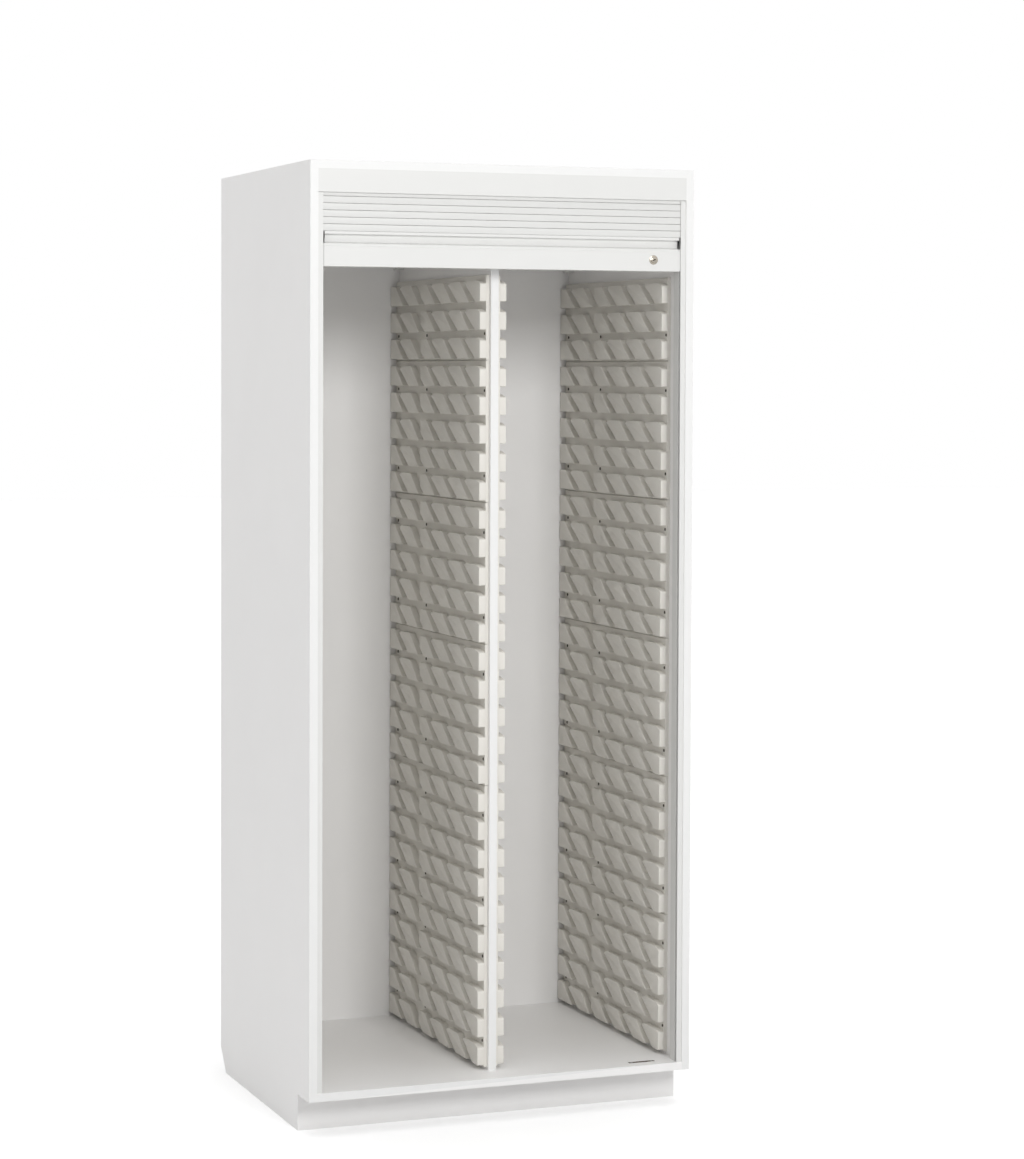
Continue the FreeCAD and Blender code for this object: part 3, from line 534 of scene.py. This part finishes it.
lock_hole = drum("lock_hole_tool", BARREL_RADIUS + HOLE_CLEARANCE, RAIL_FRONT - OVERRUN,
                 RAIL_BACK + OVERRUN, LOCK_X, LOCK_Z)
combine(rail, lock_hole, "DIFFERENCE")
combine(rail, bolt_slot(RAIL_BOTTOM - OVERRUN, FOOT_TOP + OVERRUN), "DIFFERENCE")
apply_last(soften(rail, RAIL_ROUND))
finish_piece(rail, LACQUER, "shutter_rail", "shutter")
print("rail has", len(rail.data.polygons), "faces")

# %% [markdown]
# ## The lock
# A nickel-plated cam lock: a rosette on the rail, a barrel through it and a case behind that guides the bolt.
# It could be one turned profile with a box behind. Cylinders joined and bored by booleans keep each
# diameter plain to read.

# %% Lock housing
ROSETTE_RADIUS, ROSETTE_PROUD, BORE_RADIUS, LOCK_ROUND = 10.5, 1.2, 6.33, 0.8
CASE_HALF, CASE_DEPTH, CASE_HEIGHT, BOLT_ROOM, SINK = 28, 15, 38, 25.4, 0.2
housing = drum("lock_housing_shell", ROSETTE_RADIUS, RAIL_FRONT - ROSETTE_PROUD, RAIL_FRONT, LOCK_X, LOCK_Z)
round_edges(housing, lambda p: near(p.y, RAIL_FRONT - ROSETTE_PROUD), LOCK_ROUND)
combine(housing, drum("barrel_tool", BARREL_RADIUS, RAIL_FRONT - SINK, RAIL_BACK, LOCK_X, LOCK_Z), "UNION")
combine(housing, block("case_tool", (BOLT_X - CASE_HALF, RAIL_BACK - SINK, FOOT_TOP),
                       (BOLT_X + CASE_HALF, RAIL_BACK + CASE_DEPTH, FOOT_TOP + CASE_HEIGHT)), "UNION")
combine(housing, drum("bore_tool", BORE_RADIUS, RAIL_FRONT - OVERRUN, RAIL_BACK, LOCK_X, LOCK_Z),
        "DIFFERENCE")
combine(housing, bolt_slot(RAIL_BOTTOM - OVERRUN, FOOT_TOP + BOLT_ROOM), "DIFFERENCE")
smooth(housing, angle=25)
finish_piece(housing, NICKEL, "lock_housing", "shutter")
print("lock housing has", len(housing.data.polygons), "faces")

# %% Lock plug
PLUG_RADIUS, PLUG_PROUD, PLUG_LENGTH = 6.25, 3.5, 23.3
KEY_HALF_LENGTH, KEY_HALF_WIDTH, KEY_DEPTH, KEY_TILT = 4, 1.1, 9, math.radians(-20)
plug_front = RAIL_FRONT - PLUG_PROUD
plug = drum("lock_plug_turned", PLUG_RADIUS, plug_front, plug_front + PLUG_LENGTH, LOCK_X, LOCK_Z)
round_edges(plug, lambda p: near(p.y, plug_front), LOCK_ROUND)
keyway = block("keyway_tool", (LOCK_X - KEY_HALF_LENGTH, plug_front - OVERRUN, LOCK_Z - KEY_HALF_WIDTH),
               (LOCK_X + KEY_HALF_LENGTH, plug_front + KEY_DEPTH, LOCK_Z + KEY_HALF_WIDTH), KEY_TILT)
combine(plug, keyway, "DIFFERENCE")
smooth(plug, angle=25)
finish_piece(plug, NICKEL, "lock_plug", "lock_plug")
# Painted shade: the keyway's walls and floor take the near-black colour that stands in for the shade inside
# the slot.
plug.data.materials.append(KEYWAY_SHADE)
for face in plug.data.polygons:
    corners = [plug.data.vertices[index].co / MM for index in face.vertices]
    deepest = max(corner.y for corner in corners)
    reach = max(math.hypot(corner.x - LOCK_X, corner.z - LOCK_Z) for corner in corners)
    if near(deepest, plug_front + KEY_DEPTH) and reach < KEY_HALF_LENGTH + KEY_HALF_WIDTH:
        face.material_index = 1
print("lock plug has", len(plug.data.polygons), "faces")

# %% [markdown]
# ## Insert teeth
# Each insert is a moulded panel with rows of slanted teeth, between which trays slide level or tilted. A
# tooth could be a sheared cube, but most have clipped corners. So each starts as a plane of its full size,
# is cut along its slants with bisect, gets its corners rounded, and is extruded and rounded in front.

# %% Insert teeth
INSERT_LENGTH, INSERT_BASE, ROW_PITCH = 582, 7.5, 62.83
TEETH, TOOTH_PITCH, TOOTH_SLOT, FIRST_TOOTH = 6, 106.5, 38, 31
TOOTH_LOW, TOOTH_HEIGHT, TOOTH_DEPTH, TOOTH_CORNER, TOOTH_RIM = 4, 46, 15, 3, 0.9
FRONT_LEAN, REAR_LEAN, REAR_CLIP_HEIGHT, REAR_CLIP_LENGTH = 1.2, 1.51, 5, 15
SHORT_TOOTH, SHORT_REACH, NOSE_LENGTH, NOSE_HEIGHT = 3, 27, 22, 6
TOOTH_TOP = TOOTH_LOW + TOOTH_HEIGHT


def tooth_outline(index):
    """Side view of one tooth, anticlockwise: depth from the front of the insert, height from its foot."""
    rear = FIRST_TOOTH + TOOTH_PITCH * index
    begin = rear - TOOTH_PITCH + TOOTH_SLOT
    slant = REAR_LEAN * (TOOTH_HEIGHT - REAR_CLIP_HEIGHT)
    edge = [(rear, TOOTH_LOW), (rear + slant, TOOTH_TOP - REAR_CLIP_HEIGHT),
            (rear + slant - REAR_CLIP_LENGTH, TOOTH_TOP)]
    if index == SHORT_TOOTH:
        edge = [(rear, TOOTH_LOW), (rear + SHORT_REACH, TOOTH_LOW + SHORT_REACH / REAR_LEAN),
                (rear + SHORT_REACH, TOOTH_TOP)]
    if index == TEETH - 1:
        edge = [(INSERT_LENGTH, TOOTH_LOW), (INSERT_LENGTH, TOOTH_TOP)]
    if index == 0:
        return edge + [(NOSE_LENGTH, TOOTH_TOP), (0, TOOTH_TOP - NOSE_HEIGHT), (0, TOOTH_LOW)]
    return edge + [(begin + TOOTH_HEIGHT * FRONT_LEAN, TOOTH_TOP), (begin, TOOTH_LOW)]


def tooth(index):
    """One tooth standing on the base, which it enters by a little."""
    outline = [Vector((0, y, z)) for y, z in tooth_outline(index)]
    low = Vector((0, min(p.y for p in outline), TOOTH_LOW))
    high = Vector((0, max(p.y for p in outline), TOOTH_TOP))
    bpy.ops.object.select_all(action="DESELECT")
    start = (low + high) / 2 + Vector((INSERT_BASE - SINK, 0, 0))
    bpy.ops.mesh.primitive_plane_add(size=1, location=start * MM, rotation=(0, math.pi / 2, 0))
    bpy.context.active_object.scale = ((high.z - low.z) * MM, (high.y - low.y) * MM, 1)
    piece = settled("tooth")
    for here, there in zip(outline, outline[1:] + outline[:1]):
        along = there - here
        if abs(along.y) > SINK and abs(along.z) > SINK:
            pick(piece, "VERT", lambda p: True)
            outwards = Vector((0, along.z, -along.y)).normalized()
            bpy.ops.mesh.bisect(plane_co=here * MM, plane_no=outwards, clear_outer=True)
            bpy.ops.object.mode_set(mode="OBJECT")
    pick(piece, "VERT", lambda p: True)
    bpy.ops.mesh.bevel(offset=TOOTH_CORNER * MM, segments=3, affect="VERTICES")
    bpy.ops.object.mode_set(mode="OBJECT")
    push(piece, lambda p: True, (TOOTH_DEPTH + SINK, 0, 0))
    face_outwards(piece)
    round_edges(piece, lambda p: near(p.x, INSERT_BASE + TOOTH_DEPTH), TOOTH_RIM)
    return piece


def joined(pieces, name):
    """Several pieces made one."""
    only(pieces[0])
    for piece in pieces:
        piece.select_set(True)
    bpy.ops.object.join()
    pieces[0].name = name
    return pieces[0]


row_form = joined([tooth(index) for index in range(TEETH)], "row_form")
print("a row of teeth has", len(row_form.data.polygons), "faces")

# %% [markdown]
# ## Inserts
# The real panels come in two heights, five rows and three, and are stacked with a fine groove at each joint.
# Each height is modelled once, from a base and an array of rows, and copied to its places. The stacks on the
# other side of a bay are mirror images.

# %% Insert forms
INSERT_JOINT, INSERT_CHAMFER = 0.4, 1.6


def copy_at(form, offset, is_flipped=False):
    """A copy with its own mesh at another place, mirrored across the middle of the cabinet if asked."""
    only(form)
    bpy.ops.object.duplicate()
    piece = bpy.context.active_object
    piece.location = Vector(offset) * MM
    bpy.ops.object.transform_apply(location=True, rotation=True, scale=True)
    if is_flipped:
        piece.scale.x = -1
        bpy.ops.object.transform_apply(location=True, rotation=True, scale=True)
        face_outwards(piece)
    return piece


def insert_form(rows):
    """A whole insert with its mounting face on x = 0."""
    top = ROW_PITCH * rows - INSERT_JOINT
    base = block("insert_form", (0, 0, INSERT_JOINT), (INSERT_BASE, INSERT_LENGTH, top))
    for z in (INSERT_JOINT, top):
        round_edges(base, lambda p: near(p.x, INSERT_BASE) and near(p.z, z), INSERT_CHAMFER, segments=1)
    teeth = [copy_at(row_form, (0, 0, ROW_PITCH * row)) for row in range(rows)]
    return joined([base] + teeth, f"insert_form_{rows}")


TALL, SHORT = 5, 3
forms = {rows: insert_form(rows) for rows in (TALL, SHORT)}
bpy.data.objects.remove(row_form)
print("a tall insert has", len(forms[TALL].data.polygons), "faces")

# %% Insert stacks
INNER, DIVIDER_FACE, INSERT_Y, INSERT_FOOT, LEVELS = 432, 9, -257, 104.5, 6
STACKS = [("left_wall", -INNER, False), ("divider_right", DIVIDER_FACE, False),
          ("divider_left", DIVIDER_FACE, True), ("right_wall", -INNER, True)]
insert_faces = 0
for stack_name, face, is_flipped in STACKS:
    for level in range(LEVELS):
        form = forms[SHORT if level == LEVELS - 1 else TALL]
        piece = copy_at(form, (face, INSERT_Y, INSERT_FOOT + ROW_PITCH * TALL * level), is_flipped)
        node = f"{stack_name}_insert_{level + 1}"
        piece.name = f"{node}_moulding"
        smooth(piece, angle=40)
        finish_piece(piece, GREY_PLASTIC, node, "cabinet")
        insert_faces += len(piece.data.polygons)
for form in forms.values():
    bpy.data.objects.remove(form)
print("inserts have", insert_faces, "faces")

# %% [markdown]
# ## Insert screws
# Blackened screws with a low domed head and a cross recess hold the inserts in the channels. A dark dot would
# do from afar, but their heads catch the light. One screw is made from two cylinders and a cross of blocks,
# and copied.

# %% One screw
HEAD_RADIUS, HEAD_HEIGHT, HEAD_ROUND, SHANK_RADIUS, SHANK_LENGTH = 3.5, 1.2, 0.9, 1.75, 14
CROSS_HALF_LENGTH, CROSS_HALF_WIDTH, CROSS_DEPTH, SCREW_STEPS = 1.7, 0.35, 0.7, 20
screw = drum("screw_form", HEAD_RADIUS, -HEAD_HEIGHT, 0, steps=SCREW_STEPS)
round_edges(screw, lambda p: near(p.y, -HEAD_HEIGHT), HEAD_ROUND)
combine(screw, drum("shank_tool", SHANK_RADIUS, -SINK, SHANK_LENGTH, steps=SCREW_STEPS), "UNION")
for across, up in ((CROSS_HALF_LENGTH, CROSS_HALF_WIDTH), (CROSS_HALF_WIDTH, CROSS_HALF_LENGTH)):
    combine(screw, block("cross_tool", (-across, -OVERRUN, -up), (across, CROSS_DEPTH - HEAD_HEIGHT, up)),
            "DIFFERENCE")
only(screw)
screw.rotation_euler.z = math.pi / 2
screw.location.x = INSERT_BASE * MM
bpy.ops.object.transform_apply(location=True, rotation=True, scale=True)
print("one screw has", len(screw.data.polygons), "faces")

# %% All screws
SCREW_DEPTHS = (8, 372, 564)
CHANNEL_MIDDLE = TOOTH_LOW - (ROW_PITCH - TOOTH_HEIGHT) / 2
screws = []
for stack_name, face, is_flipped in STACKS:
    for level in range(LEVELS):
        for row in (1,) if level == LEVELS - 1 else (1, TALL - 1):
            z = INSERT_FOOT + ROW_PITCH * (TALL * level + row) + CHANNEL_MIDDLE
            screws += [copy_at(screw, (face, INSERT_Y + depth, z), is_flipped) for depth in SCREW_DEPTHS]
bpy.data.objects.remove(screw)
screw_count = len(screws)
heads = smooth(joined(screws, "insert_screws_turned"), angle=30)
finish_piece(heads, SCREW_STEEL, "insert_screws", "cabinet")
print(screw_count, "insert screws")

# %% [markdown]
# ## Floor
# The picture behind the cabinet is plain white with a faint shadow. A bright floor would throw too much light
# back up at the cabinet. So the floor is a light grey that only rays from the camera see a little brighter,
# and it keeps the shadow.

# %% Floor
FLOOR_SIZE, FLOOR_GLOW = 60, 0.3
bpy.ops.object.select_all(action="DESELECT")
bpy.ops.mesh.primitive_plane_add(size=FLOOR_SIZE, location=(0, 0, 0))
floor = bpy.context.active_object
floor.name = "studio_floor"
# Matt paint rolled on: a pale grey that takes the shadow.
FLOOR_PAINT = surface("studio floor painted pale", ("#E8E8E8", "#E7E7E7"),
                      roughness=0.9, grain_mm=3.0, depth_mm=0.0)
seen = add_node(FLOOR_PAINT, "ShaderNodeLightPath").outputs["Is Camera Ray"]
glow = add_node(FLOOR_PAINT, "ShaderNodeMath", {0: seen, 1: FLOOR_GLOW}, operation="MULTIPLY")
floor_shader = FLOOR_PAINT.node_tree.nodes["Principled BSDF"]
floor_shader.inputs["Emission Color"].default_value = (1, 1, 1, 1)
FLOOR_PAINT.node_tree.links.new(glow.outputs["Value"], floor_shader.inputs["Emission Strength"])
paint(floor, FLOOR_PAINT)
print("floor laid")

# %% [markdown]
# ## Light
# The photograph has one soft light high in front and a pale surround. A row of lamps could give that, but one
# large lamp and a shaded surround have fewer shadows to tune. The surround glows evenly round the cabinet, is
# dimmer in front, where the camera would stand in a dark room, and brighter overhead. What the camera or a
# shiny surface sees of it is plain white.

# %% Light


def soft_light(name, place, target, size, power):
    """A large soft light aimed at a point."""
    bpy.ops.object.select_all(action="DESELECT")
    bpy.ops.object.light_add(type="AREA", location=place)
    lamp = bpy.context.active_object
    lamp.name = name
    lamp.data.size = size
    lamp.data.energy = power
    lamp.rotation_euler = (Vector(target) - Vector(place)).to_track_quat("-Z", "Y").to_euler()
    return lamp


key = soft_light("key light", place=(0.3, -5.9, 3.4), target=(0.0, 0.0, 0.9), size=1.6, power=140)
print("key light of", round(key.data.energy), "W")

# %% Surround
scene = bpy.context.scene
world = bpy.data.worlds.new("white surround")
scene.world = world
world.use_nodes = True
sky = world.node_tree.nodes["Background"]
direction = add_node(world, "ShaderNodeTexCoord").outputs["Generated"]
axes = add_node(world, "ShaderNodeSeparateXYZ", {"Vector": direction}).outputs


def ramp(axis, start, end, first, last):
    """A strength that runs between two values along an axis of the surround."""
    return add_node(world, "ShaderNodeMapRange", {"Value": axes[axis], "From Min": start, "From Max": end,
                                                  "To Min": first, "To Max": last}).outputs["Result"]


ahead = ramp("Y", start=-0.7, end=0.1, first=0.55, last=1.0)
ring = ramp("Z", start=0.2, end=0.6, first=1.0, last=0.4)
above = ramp("Z", start=0.7, end=1.0, first=0.0, last=1.8)
shade = add_node(world, "ShaderNodeMath", {0: ahead, 1: ring, 2: above},
                 operation="MULTIPLY_ADD").outputs["Value"]
ray = add_node(world, "ShaderNodeLightPath").outputs
seen = ray["Is Camera Ray"]
for kind in ("Is Glossy Ray", "Is Transmission Ray"):
    seen = add_node(world, "ShaderNodeMath", {0: seen, 1: ray[kind]}, operation="ADD",
                    use_clamp=True).outputs["Value"]
strength = add_node(world, "ShaderNodeMix", {"Factor": seen, "A": shade, "B": 1.0}).outputs["Result"]
world.node_tree.links.new(strength, sky.inputs["Strength"])
sky.inputs["Color"].default_value = (1, 1, 1, 1)
print("surround has", len(world.node_tree.nodes), "nodes")

# %% [markdown]
# ## Camera
# The photograph was taken from the left at chest height through a long lens. The place, lens and turn here
# come from fitting the cabinet's straight edges, and the shift only frames it as the photograph does.

# %% Camera
CAMERA_PLACE, YAW, PITCH, ROLL = (-2.3614, -6.1679, 1.6474), 0.3513, -0.0316, -0.0025
SENSOR_MM, LENS_MM, SHIFT_X, SHIFT_Y = 36, 89.46, 0.088, -0.1
bpy.ops.object.select_all(action="DESELECT")
bpy.ops.object.camera_add(location=CAMERA_PLACE, rotation=(math.pi / 2 + PITCH, ROLL, -YAW))
camera = bpy.context.active_object
camera.data.sensor_width = SENSOR_MM
camera.data.lens = LENS_MM
camera.data.shift_x = SHIFT_X
camera.data.shift_y = SHIFT_Y
scene.camera = camera
scene.view_settings.view_transform = "Standard"
print("camera lens", round(camera.data.lens, 1), "mm")
